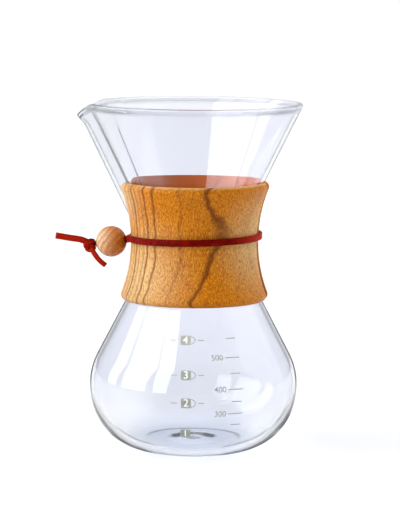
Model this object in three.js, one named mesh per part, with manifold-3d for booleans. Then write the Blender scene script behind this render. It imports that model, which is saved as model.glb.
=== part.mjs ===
// Hourglass pour-over coffee maker: a one-piece glass carafe with a pouring channel, two wooden
// collar halves round its neck, and a leather lace that ties them through a wooden bead.
// Millimetres, +Z up. The origin is the middle of the flat underside of the glass.
// The channel and the bead point along -X.

import * as THREE from 'three';
import { mergeVertices } from 'three/addons/utils/BufferGeometryUtils.js';
import Module from 'manifold-3d';

const wasm = await Module();
wasm.setup();

// Driving dimensions of the glass.
const HEIGHT = 184.8;
const WALL = 2.0;
const FLOOR_THICKNESS = 3.2;
const LIP_RADIUS = 1.3;
const LIP_OUTER_RADIUS = 57.0;
const GLOBE_RADIUS = 55.0;
const GLOBE_EQUATOR_Z = 35.4;
const GLOBE_POWER = 2.15;
const SHOULDER_ARC_RADIUS = 33.8;
const FUNNEL_TILT = THREE.MathUtils.degToRad(26.3);
const SHOULDER_TILT = THREE.MathUtils.degToRad(27.4);
const NECK_ARC_RADIUS = 24.0;
const GLASS_SEGMENTS = 56;

// The pouring channel is a round-topped bulge of the wall that fades into the neck. Its top is the
// spout, where the rim is drawn down along the wall and flared a little.
const CHANNEL_DEPTH = 7.1;
const CHANNEL_FADE_Z = [98.0, 124.0];
const CHANNEL_HALF_ANGLE = THREE.MathUtils.degToRad(23.5);
const SPOUT_Z = 171.0;
const SPOUT_DROP = 6.5;
const SPOUT_FLARE = 1.8;

// How strongly the points of the wall are crowded towards the channel, from 0 to under 1.
const CHANNEL_CROWDING = 0.55;

// The wooden collar: its outside is one hollow arc between two rounded lips.
const COLLAR_Z = [80.4, 143.6];
const COLLAR_WAIST_Z = 111.6;
const COLLAR_WAIST_RADIUS = 33.9;
const COLLAR_ARC_RADIUS = 76.0;
const COLLAR_LIP_ROUND = 3.0;
const COLLAR_SEGMENTS = 60;
const SPOUT_HALF_GAP = 9.0;
const BACK_HALF_GAP = 3.5;

// The lace is a flat strip. It lies in the waist and meets the bead on the channel side.
const FIT_GAP = 0.35;
const LACE_WIDTH = 3.5;
const LACE_THICKNESS = 1.6;
const LACE_Z = 114.1;
const LACE_RISE = 0.02;
const LACE_RADIUS = COLLAR_WAIST_RADIUS + 0.5 + LACE_THICKNESS / 2;
const LACE_BRIDGE_HALF = 2.4;

// The bead, and the line that the doubled lace takes through it.
const BEAD_RADIUS = 8.2;
const BEAD_BORE_RADIUS = 2.5;
const BEAD_CENTRE = new THREE.Vector3(-44.4, 0, 110.3);
const STEM_TILT = THREE.MathUtils.degToRad(9.5);
const KNOT_RADII = new THREE.Vector3(3.1, 3.7, 4.1);

// The two free ends of the lace, each from the edge of the knot, measured from the knot's middle.
const LONG_TAIL = [[-3.7, 0, 2.2], [-10, 0, 3.4], [-18.3, 0, 4.5]];
const SHORT_TAIL = [[3.4, -3.4, -3.7], [6.0, -3.8, -6.8], [9.2, -3.8, -10.6]];

const GLASS = { color: 0xe4e7f2, roughness: 0.03, metalness: 0 };
const WOOD = { color: 0xc98a48, roughness: 0.5, metalness: 0 };
const BEAD_WOOD = { color: 0xd9b384, roughness: 0.5, metalness: 0 };
const LEATHER = { color: 0x7d1c0c, roughness: 0.6, metalness: 0 };

// Meshes and booleans.

function makeMesh(name, geometry, look) {
  const mesh = new THREE.Mesh(geometry, new THREE.MeshStandardMaterial(look));
  mesh.name = name;
  return mesh;
}

function toSolid(geometry) {
  const bare = geometry.clone();
  bare.deleteAttribute('normal');
  bare.deleteAttribute('uv');
  const merged = mergeVertices(bare, 1e-4);
  const vertProperties = new Float32Array(merged.attributes.position.array);
  const triVerts = new Uint32Array(merged.index.array);
  return new wasm.Manifold(new wasm.Mesh({ numProp: 3, vertProperties, triVerts }));
}

function toGeometry(solid) {
  const { vertProperties, triVerts } = solid.getMesh();
  const geometry = new THREE.BufferGeometry();
  geometry.setAttribute('position', new THREE.BufferAttribute(vertProperties, 3));
  geometry.setIndex(new THREE.BufferAttribute(triVerts, 1));
  geometry.computeVertexNormals();
  return geometry;
}

// Outlines, as (radius, height) points.

function arcPoints(centre, radius, fromAngle, toAngle, steps) {
  const points = [];
  for (let i = 0; i <= steps; i += 1) {
    const angle = THREE.MathUtils.lerp(fromAngle, toAngle, i / steps);
    points.push(new THREE.Vector2(
      centre.x + radius * Math.cos(angle),
      centre.y + radius * Math.sin(angle),
    ));
  }
  return points;
}

function straightPoints(from, to, steps) {
  const points = [];
  for (let i = 1; i < steps; i += 1) {
    points.push(from.clone().lerp(to, i / steps));
  }
  return points;
}

// The lower half of the globe, from the edge of the flat base up to the equator.
function bowlPoints(steps) {
  const across = GLOBE_EQUATOR_Z;
  const flatRadius = GLOBE_RADIUS - across;
  const points = [];
  for (let i = 0; i < steps; i += 1) {
    const angle = (Math.PI / 2) * (i / steps);
    points.push(new THREE.Vector2(
      flatRadius + across * Math.sin(angle) ** (2 / GLOBE_POWER),
      GLOBE_EQUATOR_Z * (1 - Math.cos(angle) ** (2 / GLOBE_POWER)),
    ));
  }
  return points;
}

// The outside of the glass from the edge of its flat base to the lip.
function outsidePoints() {
  const shoulderCentre = new THREE.Vector2(GLOBE_RADIUS - SHOULDER_ARC_RADIUS, GLOBE_EQUATOR_Z);
  const shoulder = arcPoints(shoulderCentre, SHOULDER_ARC_RADIUS, 0, SHOULDER_TILT, 5);
  const shoulderEnd = shoulder[shoulder.length - 1];
  const lipZ = HEIGHT - LIP_RADIUS;

  // The neck arc touches the shoulder's straight side and the funnel's straight side.
  const shoulderSlope = Math.tan(SHOULDER_TILT);
  const funnelSlope = Math.tan(FUNNEL_TILT);
  const funnelFoot = LIP_OUTER_RADIUS - funnelSlope * lipZ;
  const shoulderFoot = shoulderEnd.x + shoulderSlope * shoulderEnd.y;
  const besideShoulder = shoulderFoot + NECK_ARC_RADIUS / Math.cos(SHOULDER_TILT);
  const besideFunnel = funnelFoot + NECK_ARC_RADIUS / Math.cos(FUNNEL_TILT);
  const neckZ = (besideShoulder - besideFunnel) / (shoulderSlope + funnelSlope);
  const neckCentre = new THREE.Vector2(besideFunnel + funnelSlope * neckZ, neckZ);
  const neck = arcPoints(
    neckCentre, NECK_ARC_RADIUS, Math.PI + SHOULDER_TILT, Math.PI - FUNNEL_TILT, 6,
  );

  const funnelTop = new THREE.Vector2(LIP_OUTER_RADIUS, lipZ);
  return [
    ...bowlPoints(8),
    ...shoulder,
    ...straightPoints(shoulderEnd, neck[0], 2),
    ...neck,
    ...straightPoints(neck[neck.length - 1], funnelTop, 6),
    funnelTop,
  ];
}

// Moves every point of an outline sideways along its own normal, outwards for a positive distance.
function offsetPoints(points, distanceAt) {
  return points.map((point, i) => {
    const before = points[Math.max(i - 1, 0)];
    const after = points[Math.min(i + 1, points.length - 1)];
    const along = after.clone().sub(before).normalize();
    const distance = distanceAt(point);
    return new THREE.Vector2(point.x + along.y * distance, point.y - along.x * distance);
  });
}

// The pouring channel.

// How far the wall bulges at an angle from the channel's middle, from 0 beside it to 1.
function channelShape(angle) {
  return THREE.MathUtils.smoothstep(1 - Math.abs(angle) / CHANNEL_HALF_ANGLE, 0, 1);
}

// Presses the channel into a turned wall, and crowds the wall's points towards it.
function pressChannel(geometry) {
  const position = geometry.attributes.position;
  for (let i = 0; i < position.count; i += 1) {
    const z = position.getZ(i);
    const radius = Math.hypot(position.getX(i), position.getY(i));
    const evenAngle = radius > 0 ? Math.atan2(position.getY(i), -position.getX(i)) : 0;
    const angle = evenAngle - CHANNEL_CROWDING * Math.sin(evenAngle);
    const shape = radius > 0 ? channelShape(angle) : 0;
    const fade = THREE.MathUtils.smoothstep(z, CHANNEL_FADE_Z[0], CHANNEL_FADE_Z[1]);
    const spout = THREE.MathUtils.smoothstep(z, SPOUT_Z, HEIGHT);
    const drop = shape * SPOUT_DROP * spout;
    const bulge = shape * (CHANNEL_DEPTH * fade + SPOUT_FLARE * spout);
    const reach = radius + bulge - drop * Math.tan(FUNNEL_TILT);
    position.setXYZ(i, -reach * Math.cos(angle), reach * Math.sin(angle), z - drop);
  }
  return geometry;
}

function turned(outline, segments) {
  return new THREE.LatheGeometry(outline, segments).rotateX(Math.PI / 2);
}

function glassGeometry() {
  const outside = outsidePoints();
  const thicknessAt = (point) => {
    const rise = THREE.MathUtils.smoothstep(point.y, 0, GLOBE_EQUATOR_Z);
    return -THREE.MathUtils.lerp(FLOOR_THICKNESS, WALL, rise);
  };
  const inside = offsetPoints(outside, thicknessAt).slice(0, -1).reverse();
  const lipCentre = new THREE.Vector2(LIP_OUTER_RADIUS - LIP_RADIUS, HEIGHT - LIP_RADIUS);
  const lip = arcPoints(lipCentre, LIP_RADIUS, 0, Math.PI, 5).slice(1);
  const outline = [
    new THREE.Vector2(0, 0),
    ...outside,
    ...lip,
    ...inside,
    new THREE.Vector2(0, FLOOR_THICKNESS),
  ];
  return pressChannel(turned(outline, GLASS_SEGMENTS));
}

// The space that the glass needs inside the collar: its outside, grown by the fitting gap.
function glassEnvelope() {
  const outside = offsetPoints(outsidePoints(), () => FIT_GAP);
  const outline = [
    new THREE.Vector2(0, outside[0].y),
    ...outside,
    new THREE.Vector2(0, outside[outside.length - 1].y),
  ];
  return toSolid(pressChannel(turned(outline, GLASS_SEGMENTS)));
}

// The collar.

// A solid block with the collar's outside. Each lip's circle touches the hollow arc of the side.
function collarBlank() {
  const sideCentre = new THREE.Vector2(COLLAR_WAIST_RADIUS + COLLAR_ARC_RADIUS, COLLAR_WAIST_Z);
  const reach = COLLAR_ARC_RADIUS + COLLAR_LIP_ROUND;
  const turnAt = (z) => Math.asin((z - COLLAR_WAIST_Z) / reach);
  const lipCentre = (z) => new THREE.Vector2(sideCentre.x - reach * Math.cos(turnAt(z)), z);
  const low = COLLAR_Z[0] + COLLAR_LIP_ROUND;
  const high = COLLAR_Z[1] - COLLAR_LIP_ROUND;
  const side = arcPoints(
    sideCentre, COLLAR_ARC_RADIUS, Math.PI - turnAt(low), Math.PI - turnAt(high), 12,
  );
  const outline = [
    new THREE.Vector2(0, COLLAR_Z[0]),
    ...arcPoints(lipCentre(low), COLLAR_LIP_ROUND, -Math.PI / 2, -turnAt(low), 4),
    ...side.slice(1, -1),
    ...arcPoints(lipCentre(high), COLLAR_LIP_ROUND, -turnAt(high), Math.PI / 2, 4),
    new THREE.Vector2(0, COLLAR_Z[1]),
  ];
  return toSolid(turned(outline, COLLAR_SEGMENTS));
}

// Keeps what lies to one side (-1 front, +1 back) of the two gaps between the halves.
function sideOfGaps(side) {
  const reach = 60;
  const spoutSide = new THREE.BoxGeometry(reach, reach, HEIGHT);
  spoutSide.translate(-reach / 2, side * (SPOUT_HALF_GAP + reach / 2), HEIGHT / 2);
  const backSide = new THREE.BoxGeometry(reach, reach, HEIGHT);
  backSide.translate(reach / 2, side * (BACK_HALF_GAP + reach / 2), HEIGHT / 2);
  return toSolid(spoutSide).add(toSolid(backSide));
}

function collarHalf(ring, side) {
  return toGeometry(ring.intersect(sideOfGaps(side)));
}

// The lace.

// A strip along a path. The first size lies across the path's own plane, the second in it.
function strip(path, steps, across, inPlane) {
  const section = new THREE.Shape([
    new THREE.Vector2(-across / 2, -inPlane / 2),
    new THREE.Vector2(across / 2, -inPlane / 2),
    new THREE.Vector2(across / 2, inPlane / 2),
    new THREE.Vector2(-across / 2, inPlane / 2),
  ]);
  return new THREE.ExtrudeGeometry(section, { extrudePath: path, steps, bevelEnabled: false });
}

// A point of the lace's ring round the waist, which rises a little towards the back gap.
function onRing(angle) {
  const x = LACE_RADIUS * Math.cos(angle);
  return new THREE.Vector3(x, LACE_RADIUS * Math.sin(angle), LACE_Z + LACE_RISE * x);
}

// A point on the line through the bead, this far out from its middle.
function onStem(distance) {
  return new THREE.Vector3(
    BEAD_CENTRE.x - distance * Math.cos(STEM_TILT),
    BEAD_CENTRE.y,
    BEAD_CENTRE.z - distance * Math.sin(STEM_TILT),
  );
}

// One run of the lace, from the back gap round one half of the collar to the mouth of the bead.
function laceRun(side) {
  const backAngle = Math.asin((LACE_BRIDGE_HALF + FIT_GAP) / LACE_RADIUS);
  const spoutAngle = Math.PI - Math.asin((SPOUT_HALF_GAP + 0.6) / LACE_RADIUS);
  const turns = 16;
  const points = [];
  for (let i = 0; i <= turns; i += 1) {
    points.push(onRing(side * THREE.MathUtils.lerp(backAngle, spoutAngle, i / turns)));
  }
  const mouth = onStem(-BEAD_RADIUS - 0.4);
  points.push(new THREE.Vector3(mouth.x, side * (LACE_THICKNESS / 2 + 0.8), mouth.z));
  const path = new THREE.CatmullRomCurve3(points, false, 'centripetal');
  return strip(path, 36, LACE_WIDTH, LACE_THICKNESS);
}

// The short stretch of lace over the back gap, which the two halves hinge beside.
function laceBridge() {
  const reach = Math.asin(LACE_BRIDGE_HALF / LACE_RADIUS);
  const path = new THREE.CatmullRomCurve3([onRing(-reach), onRing(0), onRing(reach)]);
  return strip(path, 4, LACE_WIDTH, LACE_THICKNESS);
}

// Turns a shape made along +Z so that it lies along the line through the bead.
function alongStem(geometry) {
  geometry.rotateY(-Math.PI / 2 - STEM_TILT);
  return geometry;
}

function laceStem() {
  const from = -BEAD_RADIUS + 0.4;
  const to = BEAD_RADIUS + 0.1;
  const geometry = new THREE.BoxGeometry(LACE_WIDTH - 0.2, 2 * LACE_THICKNESS - 0.2, to - from);
  const middle = onStem((from + to) / 2);
  return alongStem(geometry).translate(middle.x, middle.y, middle.z);
}

const KNOT_CENTRE = onStem(BEAD_RADIUS + 0.5 + KNOT_RADII.x);

function laceKnot() {
  const geometry = new THREE.SphereGeometry(1, 14, 10);
  geometry.scale(KNOT_RADII.x, KNOT_RADII.y, KNOT_RADII.z);
  return geometry.translate(KNOT_CENTRE.x, KNOT_CENTRE.y, KNOT_CENTRE.z);
}

// A free end of the lace, with its wide side facing the front.
function laceTail(offsets) {
  const points = offsets.map((offset) => KNOT_CENTRE.clone().add(new THREE.Vector3(...offset)));
  return strip(new THREE.CatmullRomCurve3(points), 10, LACE_THICKNESS, LACE_WIDTH);
}

function beadGeometry() {
  const mouthAngle = Math.acos(BEAD_BORE_RADIUS / BEAD_RADIUS);
  const outline = arcPoints(new THREE.Vector2(0, 0), BEAD_RADIUS, -mouthAngle, mouthAngle, 12);
  outline.push(outline[0].clone());
  return alongStem(turned(outline, 24)).translate(BEAD_CENTRE.x, BEAD_CENTRE.y, BEAD_CENTRE.z);
}

const collarRing = collarBlank().subtract(glassEnvelope());

const coffeeMaker = new THREE.Group();
coffeeMaker.add(
  makeMesh('glass_carafe', glassGeometry(), GLASS),
  makeMesh('collar_half_front', collarHalf(collarRing, -1), WOOD),
  makeMesh('collar_half_back', collarHalf(collarRing, 1), WOOD),
  makeMesh('lace_front_run', laceRun(-1), LEATHER),
  makeMesh('lace_back_run', laceRun(1), LEATHER),
  makeMesh('lace_bridge', laceBridge(), LEATHER),
  makeMesh('lace_stem', laceStem(), LEATHER),
  makeMesh('lace_knot', laceKnot(), LEATHER),
  makeMesh('lace_long_tail', laceTail(LONG_TAIL), LEATHER),
  makeMesh('lace_short_tail', laceTail(SHORT_TAIL), LEATHER),
  makeMesh('bead', beadGeometry(), BEAD_WOOD),
);

export default coffeeMaker;
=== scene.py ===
"""Studio scene of the hourglass pour-over coffee maker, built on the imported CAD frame.

Shapes are worked out in millimetres and become metres when a mesh is made. +Z is up, the pouring
channel and the bead point along -X, and the front half of the collar faces -Y.
"""

import math

import bmesh
import bpy
import numpy as np
from mathutils import Matrix, Vector


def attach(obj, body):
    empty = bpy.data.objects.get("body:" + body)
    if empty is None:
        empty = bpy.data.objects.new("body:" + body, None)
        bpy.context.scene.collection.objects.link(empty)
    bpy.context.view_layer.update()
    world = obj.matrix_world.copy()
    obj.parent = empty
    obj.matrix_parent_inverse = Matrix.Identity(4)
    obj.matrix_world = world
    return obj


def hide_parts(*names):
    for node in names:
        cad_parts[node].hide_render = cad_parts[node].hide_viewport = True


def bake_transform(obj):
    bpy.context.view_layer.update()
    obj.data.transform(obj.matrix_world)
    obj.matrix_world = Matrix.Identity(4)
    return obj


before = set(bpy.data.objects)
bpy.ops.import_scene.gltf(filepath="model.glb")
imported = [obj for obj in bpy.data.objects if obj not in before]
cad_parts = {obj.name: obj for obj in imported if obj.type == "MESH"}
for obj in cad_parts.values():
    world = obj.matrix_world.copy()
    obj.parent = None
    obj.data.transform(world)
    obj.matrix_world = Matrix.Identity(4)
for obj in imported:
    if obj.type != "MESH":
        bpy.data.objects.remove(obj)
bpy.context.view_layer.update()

MM = 0.001

# ---------------------------------------------------------------- dimensions, as in the CAD model

HEIGHT = 184.8
WALL = 2.0
FLOOR_THICKNESS = 3.2
LIP_RADIUS = 1.3
LIP_OUTER_RADIUS = 57.0
GLOBE_RADIUS = 55.0
GLOBE_EQUATOR_Z = 35.4
GLOBE_POWER = 2.15
SHOULDER_ARC_RADIUS = 33.8
FUNNEL_TILT = math.radians(26.3)
SHOULDER_TILT = math.radians(27.4)
NECK_ARC_RADIUS = 24.0
FLAT_RADIUS = GLOBE_RADIUS - GLOBE_EQUATOR_Z

CHANNEL_DEPTH = 7.1
CHANNEL_FADE_Z = (98.0, 124.0)
CHANNEL_HALF_ANGLE = math.radians(23.5)
CHANNEL_CROWDING = 0.55
SPOUT_Z = 171.0
SPOUT_DROP = 6.5
SPOUT_FLARE = 1.8

COLLAR_Z = (80.4, 143.6)
COLLAR_WAIST_Z = 111.6
COLLAR_WAIST_RADIUS = 33.9
COLLAR_ARC_RADIUS = 76.0
COLLAR_LIP_ROUND = 3.0
COLLAR_FIT_GAP = 0.392
SPOUT_HALF_GAP = 9.0
BACK_HALF_GAP = 3.5

LACE_WIDTH = 3.5
LACE_THICKNESS = 1.6
LACE_Z = 114.1
LACE_RISE = 0.02
LACE_GAP = 0.5
LACE_RADIUS = COLLAR_WAIST_RADIUS + LACE_GAP + LACE_THICKNESS / 2

BEAD_RADIUS = 8.2
BEAD_BORE_RADIUS = 2.5
BEAD_CENTRE = np.array([-44.4, 0.0, 110.3])
STEM_TILT = math.radians(9.5)
STEM_OUT = np.array([-math.cos(STEM_TILT), 0.0, -math.sin(STEM_TILT)])
STEM_DOWN = np.array([math.sin(STEM_TILT), 0.0, -math.cos(STEM_TILT)])
KNOT_RADII = (3.1, 3.7, 4.1)
KNOT_GAP = 0.5
KNOT_CENTRE = BEAD_CENTRE + STEM_OUT * (BEAD_RADIUS + KNOT_GAP + KNOT_RADII[0])

# ---------------------------------------------------------------- camera

CAMERA_AZIMUTH = math.radians(7.0)
CAMERA_PITCH = math.radians(6.97)
CAMERA_ROLL = math.radians(0.38)
CAMERA_DISTANCE = 1.484
CAMERA_AIM_Z = 0.1026
CAMERA_AIM_RIGHT = 0.0031
CAMERA_LENS = 195.7
CAMERA_SENSOR = 36.0


def make_camera():
    """The camera: far off in front, a little to the right and above, through a long lens."""
    turn = Matrix.Rotation(CAMERA_AZIMUTH, 4, "Z")
    tilt = Matrix.Rotation(math.pi / 2 - CAMERA_PITCH, 4, "X")
    roll = Matrix.Rotation(CAMERA_ROLL, 4, "Z")
    aim = turn @ Vector((CAMERA_AIM_RIGHT, 0, 0)) + Vector((0, 0, CAMERA_AIM_Z))
    data = bpy.data.cameras.new("camera")
    data.lens = CAMERA_LENS
    data.sensor_width = CAMERA_SENSOR
    camera = bpy.data.objects.new("camera", data)
    back = turn @ tilt @ Vector((0, 0, 1))
    camera.matrix_world = Matrix.Translation(aim + back * CAMERA_DISTANCE) @ turn @ tilt @ roll
    bpy.context.scene.collection.objects.link(camera)
    bpy.context.scene.camera = camera


# ---------------------------------------------------------------- mesh helpers


def smoothstep(value, low, high):
    """Rises smoothly from 0 at low to 1 at high, for a number or an array."""
    t = np.clip((value - low) / (high - low), 0, 1)
    return t * t * (3 - 2 * t)


def unit_rows(vectors):
    """Each row of an array scaled to length 1."""
    return vectors / np.linalg.norm(vectors, axis=1)[:, None]


def arc(centre, radius, start, end, steps):
    """Points (radius, height) along an arc, both ends included."""
    turns = np.linspace(start, end, steps + 1)
    return np.column_stack([centre[0] + radius * np.cos(turns), centre[1] + radius * np.sin(turns)])


def add_object(name, points, faces, material):
    """A smooth-shaded mesh object from points in millimetres."""
    mesh = bpy.data.meshes.new(name)
    mesh.from_pydata((np.asarray(points, float) * MM).tolist(), [], faces)
    mesh.materials.append(material)
    work = bmesh.new()
    work.from_mesh(mesh)
    bmesh.ops.remove_doubles(work, verts=work.verts, dist=1e-7)
    bmesh.ops.recalc_face_normals(work, faces=work.faces)
    work.to_mesh(mesh)
    work.free()
    mesh.polygons.foreach_set("use_smooth", [True] * len(mesh.polygons))
    thing = bpy.data.objects.new(name, mesh)
    bpy.context.scene.collection.objects.link(thing)
    return thing


def grid_faces(rows, columns, close_rows=False, close_columns=False):
    """Quads over a grid of points stored row by row."""
    faces = []
    for i in range(rows if close_rows else rows - 1):
        for j in range(columns if close_columns else columns - 1):
            a = i * columns + j
            b = i * columns + (j + 1) % columns
            c = ((i + 1) % rows) * columns + (j + 1) % columns
            d = ((i + 1) % rows) * columns + j
            faces.append((a, b, c, d))
    return faces


def rounded_section(width, thickness, corner, steps=4):
    """The outline of a flat strip with rounded corners, as (across, through) pairs."""
    outline = []
    for quarter, (sx, sy) in enumerate([(1, 1), (-1, 1), (-1, -1), (1, -1)]):
        centre = (sx * (width / 2 - corner), sy * (thickness / 2 - corner))
        start = quarter * math.pi / 2
        outline.extend(arc(centre, corner, start, start + math.pi / 2, steps))
    return np.array(outline)


def sweep(centres, across, section, closed=False):
    """Points and faces of a section carried along centres. across gives its wide way at each."""
    centres = np.asarray(centres, float)
    if closed:
        ahead = np.roll(centres, -1, 0) - np.roll(centres, 1, 0)
    else:
        ahead = np.gradient(centres, axis=0)
    ahead = unit_rows(ahead)
    across = np.asarray(across, float)
    across = unit_rows(across - ahead * np.sum(across * ahead, axis=1)[:, None])
    through = np.cross(ahead, across)
    points = []
    for centre, a, t in zip(centres, across, through):
        for u, v in section:
            points.append(centre + a * u + t * v)
    rows, columns = len(centres), len(section)
    faces = grid_faces(rows, columns, close_rows=closed, close_columns=True)
    if not closed:
        faces.append(tuple(range(columns)))
        faces.append(tuple(range((rows - 1) * columns, rows * columns)))
    return points, faces


def along_curve(controls, steps):
    """Evenly numbered points on a smooth curve (Catmull-Rom) through the controls."""
    controls = np.asarray(controls, float)
    ends = (2 * controls[0] - controls[1], 2 * controls[-1] - controls[-2])
    padded = np.vstack([ends[0], controls, ends[1]])
    last_stretch = len(controls) - 2
    points = []
    for s in np.linspace(0, len(controls) - 1, steps + 1):
        i = min(int(s), last_stretch)
        t = s - i
        p0, p1, p2, p3 = padded[i : i + 4]
        linear = (p2 - p0) * t
        square = (2 * p0 - 5 * p1 + 4 * p2 - p3) * t**2
        cubic = (3 * p1 - p0 - 3 * p2 + p3) * t**3
        points.append(0.5 * (2 * p1 + linear + square + cubic))
    return np.array(points)


# ---------------------------------------------------------------- material helpers

SCALAR_RESULTS = ("DOT_PRODUCT", "DISTANCE", "LENGTH")


def colour(red, green, blue):
    """The linear colour, with full alpha, of a screen colour given in numbers from 0 to 255."""
    shares = (red / 255, green / 255, blue / 255)
    linear = [((c + 0.055) / 1.055) ** 2.4 if c > 0.04045 else c / 12.92 for c in shares]
    return (*linear, 1.0)


def grey(value):
    """A grey, with full alpha, from its linear value."""
    return (value, value, value, 1.0)


class Look:
    """A node material with one Principled shader, and short ways to add and join nodes."""

    def __init__(self, name):
        self.material = bpy.data.materials.new(name)
        self.material.use_nodes = True
        self.tree = self.material.node_tree
        self.shader = self.tree.nodes["Principled BSDF"]
        self.output = self.tree.nodes["Material Output"]
        coordinates = self.add("ShaderNodeTexCoord")
        self.normal = coordinates.outputs["Normal"]
        self.place = self.vector("SCALE", coordinates.outputs["Object"], scale=1 / MM)

    def add(self, kind, **settings):
        node = self.tree.nodes.new(kind)
        for key, value in settings.items():
            setattr(node, key, value)
        return node

    def feed(self, socket, value):
        """Links a socket's value into another socket, or sets a constant on it."""
        if isinstance(value, bpy.types.NodeSocket):
            self.tree.links.new(value, socket)
        else:
            socket.default_value = value

    def math(self, operation, *values):
        node = self.add("ShaderNodeMath", operation=operation)
        for socket, value in zip(node.inputs, values):
            self.feed(socket, value)
        return node.outputs[0]

    def product(self, first, *others):
        for other in others:
            first = self.math("MULTIPLY", first, other)
        return first

    def vector(self, operation, *values, scale=None):
        node = self.add("ShaderNodeVectorMath", operation=operation)
        for socket, value in zip(node.inputs, values):
            self.feed(socket, value)
        if scale is not None:
            self.feed(node.inputs["Scale"], scale)
        return node.outputs["Value" if operation in SCALAR_RESULTS else "Vector"]

    def along(self, way, vector=None):
        """How far a vector, or else the place in millimetres, reaches in a direction."""
        return self.vector("DOT_PRODUCT", self.place if vector is None else vector, way)

    def noise(self, place, scale, detail=3.0, roughness=0.5, output="Fac"):
        node = self.add("ShaderNodeTexNoise")
        self.feed(node.inputs["Vector"], place)
        self.feed(node.inputs["Scale"], scale)
        self.feed(node.inputs["Detail"], detail)
        self.feed(node.inputs["Roughness"], roughness)
        return node.outputs[output]

    def spread(self, value, low, high, to_low=0.0, to_high=1.0, kind="SMOOTHSTEP"):
        """Turns the range low to high into to_low to to_high, and keeps to it outside."""
        node = self.add("ShaderNodeMapRange", interpolation_type=kind)
        self.feed(node.inputs["Value"], value)
        self.feed(node.inputs["From Min"], low)
        self.feed(node.inputs["From Max"], high)
        self.feed(node.inputs["To Min"], to_low)
        self.feed(node.inputs["To Max"], to_high)
        return node.outputs["Result"]

    def ramp(self, value, stops):
        node = self.add("ShaderNodeValToRGB")
        elements = node.color_ramp.elements
        while len(elements) < len(stops):
            elements.new(0.5)
        for element, (position, tone) in zip(elements, stops):
            element.position = position
            element.color = tone
        self.feed(node.inputs["Fac"], value)
        return node.outputs["Color"]

    def mix(self, share, first, second):
        node = self.add("ShaderNodeMix", data_type="RGBA")
        self.feed(node.inputs["Factor"], share)
        self.feed(node.inputs["A"], first)
        self.feed(node.inputs["B"], second)
        return node.outputs["Result"]

    def mix_shaders(self, share, first, second):
        node = self.add("ShaderNodeMixShader")
        self.feed(node.inputs["Fac"], share)
        self.feed(node.inputs[1], first)
        self.feed(node.inputs[2], second)
        return node.outputs["Shader"]

    def see_through(self, tone):
        node = self.add("ShaderNodeBsdfTransparent")
        node.inputs["Color"].default_value = tone
        return node.outputs["BSDF"]

    def bump(self, height, strength, distance):
        node = self.add("ShaderNodeBump")
        self.feed(node.inputs["Height"], height)
        node.inputs["Strength"].default_value = strength
        node.inputs["Distance"].default_value = distance
        self.feed(self.shader.inputs["Normal"], node.outputs["Normal"])


# ---------------------------------------------------------------- glass material

# A place on the glass is a few limits, each (measure, where it starts, where it is full). Apart
# from facing, which is 1 where the glass is seen edge on, the measures are in millimetres.
FOOT = (("height", 85.0, 12.0),)
# Painted light: the lower sides of the globe are tinted lighter.
LIT_FOOT_SIDES = (("sideways", 20.0, 40.0), ("height", 34.0, 22.0))
# Painted shade: the left wall of the globe is tinted darker where it is seen obliquely.
SHADED_LEFT_WALL = (("facing", 0.55, 0.9), ("height", 28.0, 44.0), ("leftward", -30.0, 0.0))
# Painted shade: the channel is tinted a little darker, and the dark outline starts earlier there.
SHADED_CHANNEL = (("leftward", 30.0, 36.0), ("height", 112.0, 124.0))
# Painted shadow: a dark ring round the foot, stronger towards the back.
FOOT_SHADOW_RING = (("off_ring", 2.0, 0.4), ("height", 2.4, 1.4), ("behind", -6.0, 10.0))
FOOT_SHADOW_RADIUS = 25.5
# Painted shade: the dark outline widens into bands low on the sides, at the heel.
SHADED_HEEL = (("height", 13.0, 9.0), ("sideways", 13.0, 22.0))
SHADED_HEEL_BAND = (("height", 12.0, 15.0), ("height", 24.0, 20.0), ("leftward", -34.0, -42.0))

GLASS_IOR = 1.42
GLASS_TINT = colour(242, 243, 249)
GLASS_TONES = (
    (FOOT, colour(234, 237, 243), 1.0),
    (LIT_FOOT_SIDES, colour(249, 250, 252), 1.0),
    (SHADED_LEFT_WALL, colour(220, 224, 230), 1.0),
    (SHADED_CHANNEL, colour(228, 230, 232), 0.4),
    (FOOT_SHADOW_RING, colour(128, 134, 134), 1.0),
)

# The dark outline, painted shade that stands in for the dark edges and heel bands of the glass. The
# sets of four are (from, to, strength at from, strength at to).
OUTLINE_TONE = colour(62, 72, 66)
OUTLINE_BY_WALL = (-0.2, 0.2, 0.5, 1.0)
OUTLINE_BY_HEIGHT = ((28.0, 40.0, 0.1, 0.95), (178.0, 182.0, 1.0, 0.4))
OUTLINE_HEEL_STRENGTH = 0.75
OUTLINE_STARTS = (0.8, 0.74)
OUTLINE_CHANNEL_SHIFT = 0.2
OUTLINE_FULL = 0.9

# Light to a shadow passes straight through the glass in this tone, and at the lip part of every
# ray does.
CLEAR_TONE = (0.93, 0.94, 0.96, 1)
CLEAR_LIP = (180.0, 183.0, 0.0, 0.5)


def glass_measures(look):
    """The measures that a place on the glass is told by."""
    layer = look.add("ShaderNodeLayerWeight")
    layer.inputs["Blend"].default_value = 0.5
    leftward = look.along((-1, 0, 0))
    from_axis = look.vector("LENGTH", look.vector("MULTIPLY", look.place, (1, 1, 0)))
    return {
        "facing": layer.outputs["Facing"],
        "height": look.along((0, 0, 1)),
        "leftward": leftward,
        "sideways": look.math("ABSOLUTE", leftward),
        "behind": look.along((0, 1, 0)),
        "off_ring": look.math("ABSOLUTE", look.math("SUBTRACT", from_axis, FOOT_SHADOW_RADIUS)),
    }


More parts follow.
